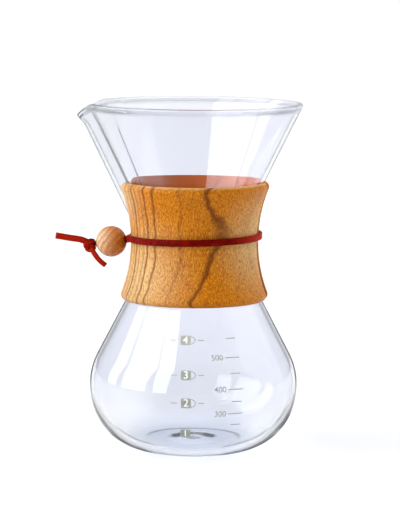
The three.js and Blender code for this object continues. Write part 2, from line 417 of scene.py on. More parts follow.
def glass_look():
    """Clear glass with a painted dark outline where it is seen edge on, and a few faint tones by
    place, most of them painted light and shade.
    """
    look = Look("clear_glass")
    measures = glass_measures(look)

    def share_of(place):
        return look.product(*(look.spread(measures[name], *limits) for name, *limits in place))

    tint = GLASS_TINT
    for place, tone, strength in GLASS_TONES:
        tint = look.mix(look.product(share_of(place), strength), tint, tone)
    look.feed(look.shader.inputs["Base Color"], tint)
    look.shader.inputs["Transmission Weight"].default_value = 1
    look.shader.inputs["Roughness"].default_value = 0.0
    look.shader.inputs["IOR"].default_value = GLASS_IOR

    strength = look.spread(look.along(look.normal), *OUTLINE_BY_WALL)
    for limits in OUTLINE_BY_HEIGHT:
        strength = look.product(strength, look.spread(measures["height"], *limits))
    heel = look.math("MAXIMUM", share_of(SHADED_HEEL), share_of(SHADED_HEEL_BAND))
    strength = look.math("MAXIMUM", strength, look.product(heel, OUTLINE_HEEL_STRENGTH))
    earlier = look.product(share_of(SHADED_CHANNEL), OUTLINE_CHANNEL_SHIFT)
    start = look.math("SUBTRACT", look.spread(heel, 0.0, 1.0, *OUTLINE_STARTS), earlier)
    line = look.product(look.spread(measures["facing"], start, OUTLINE_FULL), strength)
    # Painted shade: a dark see-through outline where the glass is seen edge on.
    edged = look.mix_shaders(line, look.shader.outputs["BSDF"], look.see_through(OUTLINE_TONE))

    shadow_ray = look.add("ShaderNodeLightPath").outputs["Is Shadow Ray"]
    clear = look.math("MAXIMUM", shadow_ray, look.spread(measures["height"], *CLEAR_LIP))
    surface = look.mix_shaders(clear, edged, look.see_through(CLEAR_TONE))
    look.feed(look.output.inputs["Surface"], surface)
    return look.material


# ---------------------------------------------------------------- wood

# Growth rings cut the wood in nearly flat layers. A ring is (distance along the way across the
# layers in millimetres, strength of its dark line), measured from the centre of the piece. The
# wood darkens over RING_BAND up to each ring, and is pale again RING_LINE_WIDTH past it.
RING_REACH = (-45.0, 45.0)
RING_BAND = 1.5
RING_LINE_WIDTH = 0.8
RING_FADE_X = (16.0, 25.0)
RING_FADE = (0.9, 0.2)

# The two waves that bend the rings, as (scale of the noise, reach in millimetres).
RING_WAVES = ((0.05, 6.0), (0.25, 0.9))

# How much the fibres, pores and blotches show. The sets of four are (from, to, share at from,
# share at to) of their noise, and the stretches draw the noise out along the height.
FIBRE_STRETCH = (1.9, 1.9, 0.6)
FIBRE_DEEP = (0.5, 0.64, 0.0, 0.95)
FIBRE_BRIGHT = (0.52, 0.36, 0.0, 0.9)
FIBRE_IN_PAINTED_LIGHT = (0.62, 0.45, 0.45, 1.0)
FIBRE_SHADED_INNER = (0.45, 0.7, 0.0, 0.75)
PORE_STRETCH = (2.6, 2.6, 0.6)
PORE_LIMITS = (0.54, 0.66)
PORE_STRENGTH = 0.65
BLOTCH_SCALE = 0.08
BLOTCH = (0.4, 0.65, 0.0, 0.3)
# Painted shade on the inward faces: how the ring lines show there, and how far the faces turn in
# before it is full.
SHADED_INNER_RING_STRENGTH = 0.8
INNER_SHADE_BY_OUTWARD = (0.0, -2.0, 0.0, 0.95)
# Painted light: the strength of the lit spots, and the upward facing over which the top highlight
# rises.
LIT_SPOT_STRENGTH = 0.95
TOP_HIGHLIGHT_UPWARD = (0.35, 0.9)
GRAIN_DEPTH = 0.00018
SHEEN_ROUGHNESS = 0.3
SHEEN_TINT = (1.0, 0.95, 0.88, 1)

# The pale spots, each (place, reach), are painted light where the sides are lit. top is how pale the
# faces that look up are painted, as a highlight, light is the tone of this painted light, inner is
# the painted shade of the faces turned in, and roughness runs from the pale fibres to the dark ones.
COLLAR_WOOD = {
    "light": colour(206, 174, 116),
    "bright": colour(214, 144, 20),
    "middle": colour(192, 110, 2),
    "deep": colour(160, 82, 1),
    "line": colour(86, 34, 3),
    "inner": colour(196, 86, 0),
    "way": (1.1509, -1.1684, -0.156),
    "centre": (0.0, 0.0, COLLAR_WAIST_Z),
    "rings": (
        (-22.0, 0.6),
        (-12.0, 0.6),
        (-8.2, 0.5),
        (-5.5, 1.0),
        (-2.6, 0.5),
        (1.0, 0.5),
        (4.0, 1.0),
        (9.4, 0.95),
        (22.7, 0.35),
        (32.5, 1.0),
    ),
    "lit_spots": (
        ((-32.0, -26.0, 94.0), 46.0),
        ((38.0, -14.0, 112.0), 36.0),
        ((-40.0, -12.0, 136.0), 32.0),
    ),
    "top": 0.9,
    "sheen": 0.08,
    "gloss": 0.14,
    "roughness": (0.36, 0.5),
}
BEAD_WOOD = {
    "light": colour(218, 208, 174),
    "bright": colour(214, 132, 20),
    "middle": colour(196, 98, 4),
    "deep": colour(170, 80, 3),
    "line": colour(152, 88, 16),
    "inner": colour(90, 30, 8),
    "way": (1.0, -0.35, -0.6),
    "centre": tuple(BEAD_CENTRE),
    "rings": ((-5.6, 0.6), (-2.9, 0.8), (0.2, 0.7), (3.6, 0.7), (6.2, 0.6)),
    "lit_spots": (((-54.0, -5.0, 112.0), 17.0),),
    "top": 0.15,
    "sheen": 0.0,
    "gloss": 0.28,
    "roughness": (0.16, 0.28),
}


def ring_stops(rings):
    """The stops of a ramp over RING_REACH that darkens slowly up to each ring, then drops back."""
    reach = RING_REACH[1] - RING_REACH[0]
    stops = [(0.0, grey(0.0))]
    for at, strength in rings:
        spot = (at - RING_REACH[0]) / reach
        stops.append((spot - RING_BAND / reach, grey(0.0)))
        stops.append((spot, grey(strength)))
        stops.append((spot + RING_LINE_WIDTH / reach, grey(0.0)))
    return stops


def bend(look, vector):
    """A vector moved by the two waves of noise that bend the rings."""
    for scale, reach in RING_WAVES:
        sway = look.noise(look.place, scale, 2.0, 0.5, "Color")
        sway = look.vector("SUBTRACT", sway, (0.5, 0.5, 0.5))
        vector = look.vector("ADD", vector, look.vector("SCALE", sway, scale=reach))
    return vector


def ring_lines(look, bent, wood):
    """How strongly the dark lines of the rings show. They fade towards +X."""
    across = look.along(tuple(Vector(wood["way"]).normalized()), bent)
    share = look.spread(across, *RING_REACH, kind="LINEAR")
    fade = look.spread(look.along((1, 0, 0)), *RING_FADE_X, *RING_FADE)
    return look.product(look.ramp(share, ring_stops(wood["rings"])), fade)


def pale_share(look, wood):
    """How much painted light the wood takes: near its lit spots, and as a highlight where it faces
    up.
    """
    upward = look.along((0, 0, 1), look.normal)
    pale = look.spread(upward, *TOP_HIGHLIGHT_UPWARD, 0.0, wood["top"])
    for spot, reach in wood["lit_spots"]:
        distance = look.vector("DISTANCE", look.place, spot)
        pale = look.math("MAXIMUM", pale, look.spread(distance, reach, 0.0, 0.0, LIT_SPOT_STRENGTH))
    return pale


def wood_look(name, wood):
    """Turned wood: dark ring lines, short fibres and fine pores, with painted light on its sides and
    top, and painted shade on its inside.
    """
    look = Look(name)
    from_centre = look.vector("SUBTRACT", look.place, wood["centre"])
    bent = bend(look, from_centre)
    lines = ring_lines(look, bent, wood)
    fibre = look.noise(look.vector("MULTIPLY", look.place, FIBRE_STRETCH), 1.0, 3.0, 0.7)
    pores = look.noise(look.vector("MULTIPLY", look.place, PORE_STRETCH), 1.0, 2.0, 0.6)
    pores = look.spread(pores, *PORE_LIMITS)
    blotch = look.spread(look.noise(bent, BLOTCH_SCALE, 3.0, 0.5), *BLOTCH)
    pale = look.product(pale_share(look, wood), look.spread(fibre, *FIBRE_IN_PAINTED_LIGHT))

    body = look.mix(blotch, wood["middle"], wood["deep"])
    body = look.mix(look.spread(fibre, *FIBRE_DEEP), body, wood["deep"])
    body = look.mix(look.spread(fibre, *FIBRE_BRIGHT), body, wood["bright"])
    # Painted light on the lit sides and on the faces that look up.
    body = look.mix(pale, body, wood["light"])
    body = look.mix(look.product(pores, PORE_STRENGTH), body, wood["line"])
    body = look.mix(lines, body, wood["line"])

    # Painted shade: the faces turned in towards the middle, and the bead's bore, take a darker tone
    # of their own.
    inner = look.mix(look.spread(fibre, *FIBRE_SHADED_INNER), wood["inner"], wood["deep"])
    inner = look.mix(look.product(lines, SHADED_INNER_RING_STRENGTH), inner, wood["line"])
    outward = look.along(from_centre, look.normal)
    body = look.mix(look.spread(outward, *INNER_SHADE_BY_OUTWARD), body, inner)

    look.feed(look.shader.inputs["Base Color"], body)
    look.shader.inputs["Specular IOR Level"].default_value = wood["gloss"]
    look.shader.inputs["Sheen Weight"].default_value = wood["sheen"]
    look.shader.inputs["Sheen Roughness"].default_value = SHEEN_ROUGHNESS
    look.shader.inputs["Sheen Tint"].default_value = SHEEN_TINT
    roughness = look.spread(fibre, 0.3, 0.7, *wood["roughness"])
    look.feed(look.shader.inputs["Roughness"], roughness)
    look.bump(look.math("SUBTRACT", fibre, pores), 0.5, GRAIN_DEPTH)
    return look.material


# ---------------------------------------------------------------- leather, ink and floor materials

LEATHER_DARK = colour(88, 1, 0)
LEATHER_LIGHT = colour(124, 9, 1)
# Painted light: this tone makes both sides of the lace more orange, where the light falls.
LEATHER_LIT = colour(160, 28, 3)
# Painted shade: this tone darkens the upward faces of the knot and tails.
LEATHER_TOP_SHADE = colour(62, 4, 2)
LEATHER_GRAIN = colour(52, 3, 1)
LIT_X = ((-24.0, -50.0), (22.0, 36.0))
LIT_STRENGTH = 0.85
TOP_SHADE_X = (-48.0, -54.0)
TOP_SHADE_UPWARD = (0.1, 0.8, 0.0, 0.85)
LEATHER_GLOSS = 0.03
LEATHER_GRAIN_DEPTH = 0.0002

INK_TONES = (colour(146, 150, 140), colour(172, 175, 164))
WHITE_INK_TONES = (colour(244, 245, 244), colour(252, 252, 250))

FLOOR_TONES = (grey(0.87), grey(0.89))
FLOOR_DIM_TONE = grey(0.22)
FLOOR_DIM_FORWARD = (60.0, 120.0)


def leather_look():
    """Red-brown leather, made more orange on both sides by painted light, and darker on top of the
    knot and tails by painted shade.
    """
    look = Look("lace_leather")
    cloud = look.noise(look.place, 0.35, 4.0, 0.6)
    grain = look.noise(look.place, 3.5, 3.0, 0.6)
    rightward = look.along((1, 0, 0))
    lit_sides = look.math("MAXIMUM", *(look.spread(rightward, *limits) for limits in LIT_X))
    upward = look.along((0, 0, 1), look.normal)
    top_shade = look.product(look.spread(upward, *TOP_SHADE_UPWARD), look.spread(rightward, *TOP_SHADE_X))

    body = look.mix(look.spread(cloud, 0.35, 0.7), LEATHER_DARK, LEATHER_LIGHT)
    # Painted light: more orange on both sides.
    body = look.mix(look.product(lit_sides, LIT_STRENGTH), body, LEATHER_LIT)
    # Painted shade on the tops of the knot and tails.
    body = look.mix(top_shade, body, LEATHER_TOP_SHADE)
    body = look.mix(look.spread(grain, 0.52, 0.75, 0.0, 0.6), body, LEATHER_GRAIN)
    look.feed(look.shader.inputs["Base Color"], body)
    look.shader.inputs["Specular IOR Level"].default_value = LEATHER_GLOSS
    look.feed(look.shader.inputs["Roughness"], look.spread(cloud, 0.3, 0.7, 0.38, 0.55))
    look.bump(grain, 0.5, LEATHER_GRAIN_DEPTH)
    return look.material


def ink_look(name, dark, pale):
    """Printed ink, clouded a little between two tones."""
    look = Look(name)
    cloud = look.noise(look.place, 1.5, 3.0, 0.6)
    look.feed(look.shader.inputs["Base Color"], look.mix(cloud, dark, pale))
    look.feed(look.shader.inputs["Roughness"], look.spread(cloud, 0.3, 0.7, 0.45, 0.6))
    return look.material


def floor_look():
    """A plain pale floor. Reflections see its near part dimmer, so that it doesn't veil the glass."""
    look = Look("floor")
    body = look.mix(look.noise(look.place, 0.06, 3.0), *FLOOR_TONES)
    depth = look.add("ShaderNodeLightPath").outputs["Glossy Depth"]
    forward = (math.sin(CAMERA_AZIMUTH), -math.cos(CAMERA_AZIMUTH), 0)
    in_front = look.spread(look.along(forward), *FLOOR_DIM_FORWARD)
    dimmed = look.product(look.math("MINIMUM", depth, 1.0), in_front)
    look.feed(look.shader.inputs["Base Color"], look.mix(dimmed, body, FLOOR_DIM_TONE))
    look.shader.inputs["Roughness"].default_value = 0.9
    return look.material


# ---------------------------------------------------------------- glass

# The underside has a shallow hollow, the punt, and the floor inside rises to a low dome.
PUNT_DEPTH = 1.4
PUNT_RADIUS = 15.0
PUNT_FLAT_SHARE = 0.35
FLOOR_DOME = 0.9
CREASE_POWER = 1.25
CREASE_END_Z = (162.0, 182.0)
GLASS_SEGMENTS = 240


def outside_profile():
    """The outside of the glass as (radius, height), from the edge of its flat base to the lip."""
    turns = np.linspace(0, math.pi / 2, 36, endpoint=False)
    across = GLOBE_RADIUS - FLAT_RADIUS
    bowl = np.column_stack(
        [
            FLAT_RADIUS + across * np.sin(turns) ** (2 / GLOBE_POWER),
            GLOBE_EQUATOR_Z * (1 - np.cos(turns) ** (2 / GLOBE_POWER)),
        ]
    )
    centre = (GLOBE_RADIUS - SHOULDER_ARC_RADIUS, GLOBE_EQUATOR_Z)
    shoulder = arc(centre, SHOULDER_ARC_RADIUS, 0, SHOULDER_TILT, 18)
    lip_z = HEIGHT - LIP_RADIUS

    # The neck arc touches the straight sides of the shoulder and of the funnel.
    shoulder_slope = math.tan(SHOULDER_TILT)
    funnel_slope = math.tan(FUNNEL_TILT)
    shoulder_foot = shoulder[-1][0] + shoulder_slope * shoulder[-1][1]
    funnel_foot = LIP_OUTER_RADIUS - funnel_slope * lip_z
    beside_shoulder = shoulder_foot + NECK_ARC_RADIUS / math.cos(SHOULDER_TILT)
    beside_funnel = funnel_foot + NECK_ARC_RADIUS / math.cos(FUNNEL_TILT)
    neck_z = (beside_shoulder - beside_funnel) / (shoulder_slope + funnel_slope)
    neck_centre = (beside_funnel + funnel_slope * neck_z, neck_z)
    neck = arc(neck_centre, NECK_ARC_RADIUS, math.pi + SHOULDER_TILT, math.pi - FUNNEL_TILT, 24)
    side = np.linspace(shoulder[-1], neck[0], 8)[1:-1]
    funnel = np.linspace(neck[-1], (LIP_OUTER_RADIUS, lip_z), 40)[1:]
    return np.vstack([bowl, shoulder, side, neck, funnel])


OUTSIDE = outside_profile()
OUTSIDE_AHEAD = np.gradient(OUTSIDE, axis=0)


def glass_radius(z):
    """The outer radius of the turned glass at a height, without the channel."""
    return np.interp(z, OUTSIDE[:, 1], OUTSIDE[:, 0])


def channel_shape(angle, z):
    """How far the wall bulges at an angle from the channel's middle, from 0 beside it to 1.

    The channel meets the funnel in two creases, which soften as they run out into the lip.
    """
    inward = np.clip(1 - np.abs(angle) / CHANNEL_HALF_ANGLE, 0, 1)
    creased = np.sin(inward * math.pi / 2) ** CREASE_POWER
    return creased + (smoothstep(inward, 0, 1) - creased) * smoothstep(z, *CREASE_END_Z)


def press_channel(radius, z, angle):
    """Radius and height of a point of the wall once the channel and its spout are pressed."""
    shape = channel_shape(angle, z)
    spout = smoothstep(z, SPOUT_Z, HEIGHT)
    drop = shape * SPOUT_DROP * spout
    bulge = shape * (CHANNEL_DEPTH * smoothstep(z, *CHANNEL_FADE_Z) + SPOUT_FLARE * spout)
    return radius + bulge - drop * math.tan(FUNNEL_TILT), z - drop


def glass_outline():
    """The closed half section of the glass, from the middle of its underside round to inside."""
    ahead = unit_rows(OUTSIDE_AHEAD)
    inward = np.column_stack([-ahead[:, 1], ahead[:, 0]])
    rise = smoothstep(OUTSIDE[:, 1], 0, GLOBE_EQUATOR_Z)
    thickness = FLOOR_THICKNESS + (WALL - FLOOR_THICKNESS) * rise
    inside = OUTSIDE + inward * thickness[:, None]
    lip_centre = (LIP_OUTER_RADIUS - LIP_RADIUS, HEIGHT - LIP_RADIUS)
    lip = arc(lip_centre, LIP_RADIUS, 0, math.pi, 14)[1:]

    under_radii = np.linspace(0, FLAT_RADIUS, 16, endpoint=False)
    punt_edge = smoothstep(under_radii, PUNT_RADIUS * PUNT_FLAT_SHARE, PUNT_RADIUS)
    under = np.column_stack([under_radii, PUNT_DEPTH * (1 - punt_edge)])
    floor_edge = inside[0]
    floor_radii = np.linspace(floor_edge[0], 0, 16)[1:]
    dome = FLOOR_DOME * (1 - smoothstep(floor_radii, 0, floor_edge[0]))
    floor = np.column_stack([floor_radii, floor_edge[1] + dome])
    return np.vstack([under, OUTSIDE, lip, inside[:-1][::-1], floor])


def make_glass(material):
    """The whole blown piece: punt, globe, neck, funnel with its channel, lip and inner wall."""
    outline = glass_outline()
    even = np.linspace(-math.pi, math.pi, GLASS_SEGMENTS, endpoint=False)
    angles = even - CHANNEL_CROWDING * np.sin(even)
    points = []
    for radius, z in outline:
        reach, height = press_channel(radius, z, angles)
        points.extend(np.column_stack([-reach * np.cos(angles), reach * np.sin(angles), height]))
    faces = grid_faces(len(outline), GLASS_SEGMENTS, close_columns=True)
    glass = add_object("glass", points, faces, material)
    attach(glass, "carafe")
    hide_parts("glass_carafe")


# ---------------------------------------------------------------- printed scale

PRINT_LIFT = 0.06
PRINT_AZIMUTH = math.radians(16.85)
LINE_WIDTH = 0.45
DIGIT_SHARE = 0.7
DIGIT_BOLDNESS = 0.05

ML_ACROSS = 13.1
ML_HEIGHTS = {500: 56.1, 400: 40.5, 300: 27.8}
ML_LINE = 8.4
ML_DIGIT_SIZE = 3.0
ML_DIGIT_SHIFT = -8.2
ML_HALF_HEIGHTS = (65.4, 48.4, 34.1, 21.8)
ML_HALF_LINE = 5.4
ML_HALF_SHIFT = 0.6

CUP_ACROSS = -13.1
CUP_HEIGHTS = {4: 64.8, 3: 47.9, 2: 33.8, 1: 17.3}
CUP_SIZE = 5.2
CUP_CORNER = 0.7
CUP_DIGIT_SIZE = 3.9
CUP_DASH = 3.2
CUP_DASH_SHIFTS = (-6.3, 7.9)
HANDLE_START = CUP_SIZE / 2 - 0.3
HANDLE_REACH = 2.8
HANDLE_HALF_HEIGHT = 2.3


def on_globe(flat, across, z, lift):
    """Wraps flat points (across, up) round the globe, about a point this far across the print.

    The print is one sheet, so its columns draw closer together a little less than the glass does.
    """
    steps = np.linalg.norm(np.diff(OUTSIDE, axis=0), axis=1)
    lengths = np.concatenate([[0], np.cumsum(steps)])
    along = np.interp(z, OUTSIDE[:, 1], lengths) + flat[:, 1]
    radius = np.interp(along, lengths, OUTSIDE[:, 0])
    height = np.interp(along, lengths, OUTSIDE[:, 1])
    slope_r = np.interp(along, lengths, OUTSIDE_AHEAD[:, 0])
    slope_z = np.interp(along, lengths, OUTSIDE_AHEAD[:, 1])
    size = np.hypot(slope_r, slope_z)
    turn = PRINT_AZIMUTH + across * 2 / (glass_radius(z) + GLOBE_RADIUS) + flat[:, 0] / radius
    radius = radius + lift * slope_z / size
    height = height - lift * slope_r / size
    return np.column_stack([radius * np.sin(turn), -radius * np.cos(turn), height])


def flat_line(shift, length):
    """Flat points and faces of one printed line, its middle this far to the right."""
    left, right = shift - length / 2, shift + length / 2
    low, high = -LINE_WIDTH / 2, LINE_WIDTH / 2
    return [(left, low), (right, low), (right, high), (left, high)], [(0, 1, 2, 3)]


def cup_body():
    """Flat points and faces of a printed cup without its handle."""
    outline = rounded_section(CUP_SIZE, CUP_SIZE, CUP_CORNER)
    return outline, [tuple(range(len(outline)))]


def cup_handle():
    """Flat points and faces of the open handle of a printed cup: a half ring on its right."""
    turns = np.linspace(-math.pi / 2, math.pi / 2, 17)
    rims = []
    for inset in (0, LINE_WIDTH):
        across = HANDLE_START + (HANDLE_REACH - inset) * np.cos(turns)
        up = (HANDLE_HALF_HEIGHT - inset) * np.sin(turns)
        rims.extend(np.column_stack([across, up]))
    count = len(turns)
    faces = [(i, i + 1, count + i + 1, count + i) for i in range(count - 1)]
    return rims, faces


def digits(number, size, shift=0.0):
    """Flat points and faces of a number with this height of digit, its middle this far right."""
    data = bpy.data.curves.new("digits", "FONT")
    data.body = str(number)
    data.align_x = "CENTER"
    data.align_y = "CENTER"
    data.size = size / DIGIT_SHARE
    data.offset = DIGIT_BOLDNESS
    thing = bpy.data.objects.new("digits", data)
    mesh = bpy.data.meshes.new_from_object(thing)
    points = [(v.co.x + shift, v.co.y) for v in mesh.vertices]
    faces = [tuple(p.vertices) for p in mesh.polygons]
    bpy.data.objects.remove(thing)
    return points, faces


def make_scale(material, digit_material):
    """The printed cups and millilitres on the globe, as thin prints that follow the glass."""
    printed, lettered = ([], []), ([], [])

    def put(sheet, mark, across, z, lift=PRINT_LIFT):
        flat, flat_faces = mark
        points, faces = sheet
        start = len(points)
        points.extend(on_globe(np.array(flat, float), across, z, lift))
        faces.extend(tuple(start + i for i in face) for face in flat_faces)

    for millilitres, z in ML_HEIGHTS.items():
        put(printed, flat_line(0, ML_LINE), ML_ACROSS, z)
        put(printed, digits(millilitres, ML_DIGIT_SIZE, ML_DIGIT_SHIFT), ML_ACROSS, z)
    for z in ML_HALF_HEIGHTS:
        put(printed, flat_line(ML_HALF_SHIFT, ML_HALF_LINE), ML_ACROSS, z)
    for cups, z in CUP_HEIGHTS.items():
        put(printed, cup_body(), CUP_ACROSS, z)
        put(printed, cup_handle(), CUP_ACROSS, z)
        for shift in CUP_DASH_SHIFTS:
            put(printed, flat_line(shift, CUP_DASH), CUP_ACROSS, z)
        put(lettered, digits(cups, CUP_DIGIT_SIZE), CUP_ACROSS, z, 2 * PRINT_LIFT)
    for name, sheet, look in (
        ("printed_scale", printed, material),
        ("printed_digits", lettered, digit_material),
    ):
        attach(add_object(name, *sheet, look), "carafe")


# ---------------------------------------------------------------- wooden collar

COLLAR_EDGE = 0.5
COLLAR_END_ROUND = 0.9
COLLAR_END_STEPS = 5
COLLAR_END_DEEPEST = 0.35  # of the thickness of the wood
COLLAR_STATIONS = 150
CORNER_GAP = 0.12


def collar_outer(z):
    """The collar's outer radius: a hollow arc that runs into two rounded lips."""
    reach = COLLAR_ARC_RADIUS + COLLAR_LIP_ROUND
    side = COLLAR_WAIST_RADIUS + COLLAR_ARC_RADIUS
    radius = side - np.sqrt(COLLAR_ARC_RADIUS**2 - (z - COLLAR_WAIST_Z) ** 2)
    for lip_z in (COLLAR_Z[0] + COLLAR_LIP_ROUND, COLLAR_Z[1] - COLLAR_LIP_ROUND):
        turn = math.asin((lip_z - COLLAR_WAIST_Z) / reach)
        lip_radius = side - reach * math.cos(turn)
        touch = lip_z - COLLAR_LIP_ROUND * math.sin(turn)
        beyond = (z - touch) * (lip_z - COLLAR_WAIST_Z) > 0
        rise = np.clip(np.abs(z - lip_z), 0, COLLAR_LIP_ROUND)
        lip = lip_radius + np.sqrt(COLLAR_LIP_ROUND**2 - rise**2)
        radius = np.where(beyond, lip, radius)
    return radius


def collar_inner(z, angle):
    """The collar's inner radius, which follows the glass and its channel."""
    reach, _ = press_channel(glass_radius(z), z, angle)
    return np.minimum(reach + COLLAR_FIT_GAP, collar_outer(z) - COLLAR_EDGE)


def spout_half_gap(z):
    """Half the gap at the channel. It widens at the top, where the channel stands past the wood."""
    offsets = np.linspace(SPOUT_HALF_GAP, 2 * SPOUT_HALF_GAP, 361)
    angles = np.arcsin(offsets[:, None] / collar_outer(z))
    reach, _ = press_channel(glass_radius(z), z, angles)
    blocked = reach + CORNER_GAP > collar_inner(z, angles)
    return SPOUT_HALF_GAP + np.sum(blocked, axis=0) * (offsets[1] - offsets[0])


def collar_heights():
    """Heights between the collar's two edges, closer together at the lips."""
    dense = np.linspace(COLLAR_Z[0], COLLAR_Z[1], 2000)
    solid = dense[collar_outer(dense) - glass_radius(dense) - COLLAR_FIT_GAP >= COLLAR_EDGE]
    turns = np.linspace(0, math.pi, 60)
    return solid[0] + (solid[-1] - solid[0]) * (1 - np.cos(turns)) / 2


def collar_stations():
    """Places round a half, from the channel to the back, as the last arguments of collar_section.

    Each is (share of the way, distance past the end face, how far the section is drawn in). The
    last two round off the ends.
    """
    turns = np.linspace(0, math.pi / 2, COLLAR_END_STEPS + 1)
    past_end = COLLAR_END_ROUND * (1 - np.sin(turns))
    drawn_in = COLLAR_END_ROUND * (1 - np.cos(turns))
    shares = np.linspace(0, 1, COLLAR_STATIONS)[1:-1]
    spout_end = [(0, *pair) for pair in zip(past_end[::-1], drawn_in[::-1])]
    middle = [(share, COLLAR_END_ROUND, 0) for share in shares]
    back_end = [(1, *pair) for pair in zip(past_end, drawn_in)]
    return spout_end + middle + back_end


def collar_section(heights, side, share, past_end, drawn_in):
    """Points round the collar's section at one station: up its outside, then down its inside."""
    z = np.clip(heights, heights[0] + drawn_in / 2, heights[-1] - drawn_in / 2)
    outer = collar_outer(z)
    spout_gap = spout_half_gap(z) + past_end
    back_gap = BACK_HALF_GAP + past_end
    first = np.arcsin(spout_gap / outer)
    last = math.pi - np.arcsin(back_gap / outer)
    angle = first + (last - first) * share
    inner = collar_inner(z, angle)
    drawn_in = np.minimum(drawn_in, (outer - inner) * COLLAR_END_DEEPEST)
    walls = []
    for radius, step in ((outer - drawn_in, 1), (inner + drawn_in, -1)):
        turn = angle
        if share == 0:
            turn = np.arcsin(spout_gap / radius)
        if share == 1:
            turn = math.pi - np.arcsin(back_gap / radius)
        wall = np.column_stack([-radius * np.cos(turn), side * radius * np.sin(turn), z])
        walls.append(wall[::step])
    return np.vstack(walls)


def make_collar_half(name, node, body, side, material):
    """One half of the collar, closed by a flat face at each end."""
    heights = collar_heights()
    stations = collar_stations()
    points = []
    for station in stations:
        points.extend(collar_section(heights, side, *station))
    rows, columns = len(stations), 2 * len(heights)
    faces = grid_faces(rows, columns, close_columns=True)
    for start in (0, (rows - 1) * columns):
        for i in range(len(heights) - 1):
            mirror = columns - 1 - i
            faces.append((start + i, start + i + 1, start + mirror - 1, start + mirror))
    thing = add_object(name, points, faces, material)
    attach(thing, body)
    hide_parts(node)


# ---------------------------------------------------------------- lace and bead

LACE_CORNER = 0.45
LACE_LEAVE_GAP = 0.6
LACE_RING_STEPS = 60
LACE_JOIN_STEPS = 24

# Where a run of the lace meets the bead: how deep it goes in, how far apart the two runs are in
# its mouth, and the point just before it that they bend through.
MOUTH_DEPTH = 0.3
MOUTH_HALF_GAP = 0.9
BEND_BEFORE = 1.6
BEND_HALF_GAP = 2.6

# The tails' routes, from the centre of the knot.
TAIL_CORNER = 0.4
LONG_TAIL_WIDTH = 3.3
LONG_TAIL_ROUTE = ((-1, 0, 1.2), (-5, 0, 2.6), (-11, 0, 3.4), (-18.3, 0, 4.5))
SHORT_TAIL_WIDTH = 2.6
SHORT_TAIL_ROUTE = ((1.2, -2.6, -1.5), (2.9, -3.4, -4.2), (5.6, -3.8, -7.6), (9.2, -3.8, -10.6))

KNOT_STRAND = 1.35
KNOT_STRAND_WIDTH = 2.2
KNOT_STRAND_THICKNESS = 1.7
KNOT_STRAND_CORNER = 0.9
KNOT_LEAN = 0.4
BORE_ROUND = 0.5


def on_ring(angle):
    """A point of the lace's ring round the waist, which rises a little towards the back gap."""
    x = LACE_RADIUS * math.cos(angle)
    return np.array([x, LACE_RADIUS * math.sin(angle), LACE_Z + LACE_RISE * x])


def make_lace_run(name, nodes, side, material):
    """Half of the loop, from the middle of the back gap to the mouth of the bead."""
    leave = math.pi - math.asin((SPOUT_HALF_GAP + LACE_LEAVE_GAP) / LACE_RADIUS)
    ring = [on_ring(side * turn) for turn in np.linspace(0, leave, LACE_RING_STEPS)]
    beside = np.array([0.0, side, 0.0])
    mouth = BEAD_CENTRE - STEM_OUT * (BEAD_RADIUS - MOUTH_DEPTH)
    near_mouth = mouth - STEM_OUT * BEND_BEFORE + beside * BEND_HALF_GAP
    controls = [ring[-2], ring[-1], near_mouth, mouth + beside * MOUTH_HALF_GAP]
    join = along_curve(controls, LACE_JOIN_STEPS)[LACE_JOIN_STEPS // 3 :]
    centres = np.vstack([ring[:-1], join])
    up = np.tile([0.0, 0.0, 1.0], (len(centres), 1))
    section = rounded_section(LACE_WIDTH, LACE_THICKNESS, LACE_CORNER)
    points, faces = sweep(centres, up, section)
    thing = add_object(name, points, faces, material)
    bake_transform(thing)
    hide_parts(*nodes)


def make_tail(name, node, route, width, material):
    """A free end of the lace, flat side to the front, cut off square."""
    centres = along_curve([KNOT_CENTRE + np.array(offset) for offset in route], 20)
    ahead = np.gradient(centres, axis=0)
    across = np.column_stack([-ahead[:, 2], 0 * ahead[:, 1], ahead[:, 0]])
    points, faces = sweep(centres, across, rounded_section(width, LACE_THICKNESS, TAIL_CORNER))
    thing = add_object(name, points, faces, material)
    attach(thing, "front_half")
    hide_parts(node)


def make_knot(material):
    """A trefoil, as an overhand knot makes, that fills KNOT_RADII round the line of the bead."""
    turns = np.linspace(0, 2 * math.pi, 120, endpoint=False)
    deep, wide, tall = (radius - KNOT_STRAND for radius in KNOT_RADII)
    out = deep * -np.sin(3 * turns)
    beside = wide / 3 * (np.sin(turns) + 2 * np.sin(2 * turns))
    up = tall / 3 * (np.cos(turns) - 2 * np.cos(2 * turns))
    centres = KNOT_CENTRE + out[:, None] * STEM_OUT + up[:, None] * -STEM_DOWN
    centres[:, 1] += beside
    across = STEM_OUT + KNOT_LEAN * (centres - KNOT_CENTRE) / 3
    width = KNOT_STRAND * KNOT_STRAND_WIDTH
    section = rounded_section(width, KNOT_STRAND * KNOT_STRAND_THICKNESS, KNOT_STRAND_CORNER)
    points, faces = sweep(centres, across, section, closed=True)
    thing = add_object("knot", points, faces, material)
    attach(thing, "front_half")
    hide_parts("lace_knot")


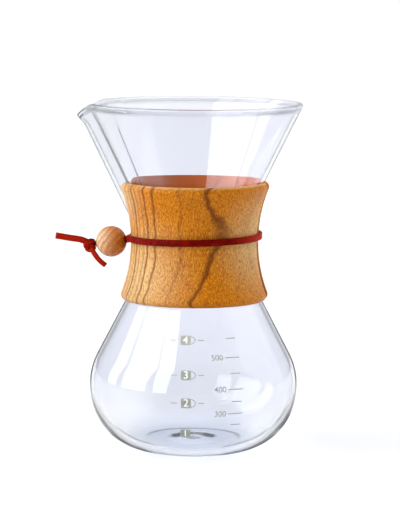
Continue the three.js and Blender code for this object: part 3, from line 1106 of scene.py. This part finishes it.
def make_bead(material):
    """The ball with its bore, whose two mouths have a small round."""
    mouth_radius = BEAD_BORE_RADIUS + BORE_ROUND
    mouth = math.acos(mouth_radius / BEAD_RADIUS)
    ball = arc((0, 0), BEAD_RADIUS, -mouth, mouth, 48)
    edge = BEAD_RADIUS * math.sin(mouth) - BORE_ROUND
    rim = arc((mouth_radius, edge), BORE_ROUND, math.pi / 2, math.pi, 5)
    outline = np.vstack([ball, rim, rim[::-1] * (1, -1)])
    turns = np.linspace(0, 2 * math.pi, 72, endpoint=False)
    points = []
    for radius, out in outline:
        for turn in turns:
            beside = np.array([0, radius * math.sin(turn), 0])
            spoke = radius * math.cos(turn) * STEM_DOWN + beside
            points.append(BEAD_CENTRE + out * STEM_OUT + spoke)
    faces = grid_faces(len(outline), len(turns), close_rows=True, close_columns=True)
    thing = add_object("bead_ball", points, faces, material)
    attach(thing, "bead")
    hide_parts("bead")


# ---------------------------------------------------------------- studio

FLOOR_SIZE = 240.0
FLOOR_DROP = 0.0003

# Tall panes far to the left, each from one bearing to another and from one elevation to another,
# in degrees. Bearings are seen from the coffee maker: 0 towards the camera, minus to its left.
# Each pane has a twin of its own brightness that is seen only in reflections.
PANE_DISTANCE = 30.0
PANE_WATTS = 4.0
PANE_BEARINGS = ((-112, -96), (-90, -53), (-47, -28))
PANE_ELEVATIONS = (0.5, 52)
PANE_BRIGHTNESS = 3.4
SHINE_BRIGHTNESS = (2.8, 2.8, 0.4)
CARD_BEARINGS = (72, 126)
CARD_ELEVATIONS = (2, 60)
CARD_BRIGHTNESS = 0.4
FILL_BRIGHTNESS = 2.0
SKY_COLOUR = (0.95, 0.96, 1.0, 1)
SKY_BRIGHTNESS = 0.62
ROOM_BRIGHTNESS = 0.06
ROOM_ELEVATION = math.radians(14)
ROOM_EDGE = (0.35, 0.9)


def make_floor():
    """The plain floor, a hair under the base so that the two don't share a plane."""
    mesh = bpy.data.meshes.new("floor")
    reach = FLOOR_SIZE / 2
    corners = [(-reach, -reach, 0), (reach, -reach, 0), (reach, reach, 0), (-reach, reach, 0)]
    mesh.from_pydata(corners, [], [(0, 1, 2, 3)])
    mesh.materials.append(floor_look())
    floor = bpy.data.objects.new("floor", mesh)
    floor.location.z = -FLOOR_DROP
    bpy.context.scene.collection.objects.link(floor)


def towards(bearing, elevation):
    """The direction from the coffee maker to a bearing off the camera's side and an elevation."""
    return Vector(
        (
            math.sin(bearing + CAMERA_AZIMUTH) * math.cos(elevation),
            -math.cos(bearing + CAMERA_AZIMUTH) * math.cos(elevation),
            math.sin(elevation),
        )
    )


def add_pane(name, bearings, elevations, brightness):
    """A plain area light that fills these bearings and elevations, as seen from the object."""
    elevation = math.radians(sum(elevations) / 2)
    way = towards(math.radians(sum(bearings) / 2), elevation)
    data = bpy.data.lights.new(name, "AREA")
    data.shape = "RECTANGLE"
    half_width = math.radians(bearings[1] - bearings[0]) / 2
    half_height = math.radians(elevations[1] - elevations[0]) / 2
    data.size = 2 * PANE_DISTANCE * math.tan(half_width) * math.cos(elevation)
    data.size_y = 2 * PANE_DISTANCE * math.tan(half_height)
    data.energy = PANE_WATTS * data.size * data.size_y * brightness
    light = bpy.data.objects.new(name, data)
    light.location = way * PANE_DISTANCE
    light.rotation_mode = "QUATERNION"
    light.rotation_quaternion = way.to_track_quat("Z", "Y")
    light.visible_camera = False
    bpy.context.scene.collection.objects.link(light)
    return light


def make_windows():
    """The panes on the left with their twins, and on the right a dim card and an unseen fill."""
    for i, (bearings, shine_brightness) in enumerate(zip(PANE_BEARINGS, SHINE_BRIGHTNESS)):
        add_pane(f"pane_{i}", bearings, PANE_ELEVATIONS, PANE_BRIGHTNESS)
        shine = add_pane(f"shine_{i}", bearings, PANE_ELEVATIONS, shine_brightness)
        shine.visible_diffuse = False
    add_pane("card", CARD_BEARINGS, CARD_ELEVATIONS, CARD_BRIGHTNESS)
    fill = add_pane("fill", CARD_BEARINGS, CARD_ELEVATIONS, FILL_BRIGHTNESS)
    fill.visible_glossy = False
    fill.visible_transmission = False


def make_world():
    """A pale sky with a dark room behind the camera."""
    world = bpy.data.worlds.new("studio")
    world.use_nodes = True
    nodes, links = world.node_tree.nodes, world.node_tree.links
    place = nodes.new("ShaderNodeTexCoord")
    nearness = nodes.new("ShaderNodeVectorMath")
    nearness.operation = "DOT_PRODUCT"
    links.new(place.outputs["Generated"], nearness.inputs[0])
    nearness.inputs[1].default_value = towards(0.0, ROOM_ELEVATION)
    share = nodes.new("ShaderNodeMapRange")
    share.interpolation_type = "SMOOTHSTEP"
    share.inputs["From Min"].default_value = ROOM_EDGE[0]
    share.inputs["From Max"].default_value = ROOM_EDGE[1]
    share.inputs["To Min"].default_value = SKY_BRIGHTNESS
    share.inputs["To Max"].default_value = ROOM_BRIGHTNESS
    links.new(nearness.outputs["Value"], share.inputs["Value"])
    background = nodes["Background"]
    background.inputs["Color"].default_value = SKY_COLOUR
    links.new(share.outputs["Result"], background.inputs["Strength"])
    bpy.context.scene.world = world


# ---------------------------------------------------------------- the scene

make_camera()
make_world()
make_floor()
make_windows()
bpy.context.scene.view_settings.view_transform = "Standard"

glass = glass_look()
collar_wood = wood_look("collar_wood", COLLAR_WOOD)
bead_wood = wood_look("bead_wood", BEAD_WOOD)
leather = leather_look()
printed_ink = ink_look("printed_ink", *INK_TONES)
printed_white = ink_look("printed_white", *WHITE_INK_TONES)

make_glass(glass)
make_scale(printed_ink, printed_white)
make_collar_half("collar_front", "collar_half_front", "front_half", -1, collar_wood)
make_collar_half("collar_back", "collar_half_back", "back_half", 1, collar_wood)
make_lace_run("lace_front", ("lace_front_run", "lace_bridge"), -1, leather)
make_lace_run("lace_back", ("lace_back_run",), 1, leather)
make_knot(leather)
make_tail("long_tail", "lace_long_tail", LONG_TAIL_ROUTE, LONG_TAIL_WIDTH, leather)
make_tail("short_tail", "lace_short_tail", SHORT_TAIL_ROUTE, SHORT_TAIL_WIDTH, leather)
make_bead(bead_wood)

# The part of the lace inside the bead keeps its CAD shape.
lace_stem = bpy.data.objects["lace_stem"].data
lace_stem.materials.clear()
lace_stem.materials.append(leather)
